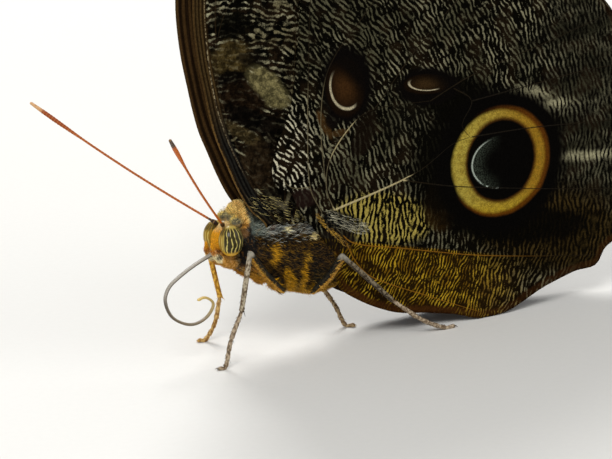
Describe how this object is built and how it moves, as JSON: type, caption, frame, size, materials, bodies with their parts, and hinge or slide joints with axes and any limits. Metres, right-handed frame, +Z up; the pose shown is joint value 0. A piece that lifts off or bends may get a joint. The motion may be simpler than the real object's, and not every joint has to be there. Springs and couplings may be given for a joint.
{
  "type": "owl butterfly",
  "caption": "Life-size owl butterfly at rest, wings closed over its back, with ringed eyespots, raised wing veins, clubbed antennae and a half-uncoiled proboscis.",
  "frame": {"origin": "centre of the bounding box in X and Y, on the floor that the feet and the hindwings' lower edges rest on", "axes": "+Z up, +X toward the tail end, so the head faces -X; the animal's right side is +Y"},
  "size_m": [0.1017, 0.0514, 0.0984],
  "materials": {
    "forewing_scales": "matte fine scales, streaked grey, cream and brown, with raised veins",
    "hindwing_scales": "matte fine scales, wavy grey and cream streaks, a large ringed eyespot and two brown ovals",
    "eye": "satin, pale olive with dark upright stripes",
    "antenna": "rust brown, finely ringed",
    "proboscis": "satin brown, finely ringed",
    "palp_hair": "short golden orange hair",
    "collar_hair": "tan hair",
    "body_hair": "dark brown hair with ochre lines and a grey-blue sheen",
    "abdomen_scales": "short brown hair and scales",
    "head_hair": "short orange-brown hair",
    "leg_scales": "pale tan scales"
  },
  "bodies": {
    "root": {"abdomen": "abdomen_scales", "antenna_left": "antenna", "antenna_right": "antenna", "collar": "collar_hair", "eye_left": "eye", "eye_right": "eye", "foreleg_left": "leg_scales", "foreleg_right": "leg_scales", "forewing_left": "forewing_scales", "forewing_right": "forewing_scales", "head": "head_hair", "hindleg_left_femur": "leg_scales", "hindleg_left_tarsus": "leg_scales", "hindleg_left_tibia": "leg_scales", "hindleg_right_femur": "leg_scales", "hindleg_right_tarsus": "leg_scales", "hindleg_right_tibia": "leg_scales", "hindwing_left": "hindwing_scales", "hindwing_right": "hindwing_scales", "midleg_left_femur": "leg_scales", "midleg_left_tarsus": "leg_scales", "midleg_left_tibia": "leg_scales", "midleg_right_femur": "leg_scales", "midleg_right_tarsus": "leg_scales", "midleg_right_tibia": "leg_scales", "palp_left": "palp_hair", "palp_right": "palp_hair", "proboscis_base": "proboscis", "proboscis_middle": "proboscis", "proboscis_tip": "proboscis", "thorax": "body_hair"}
  },
  "joints": []
}
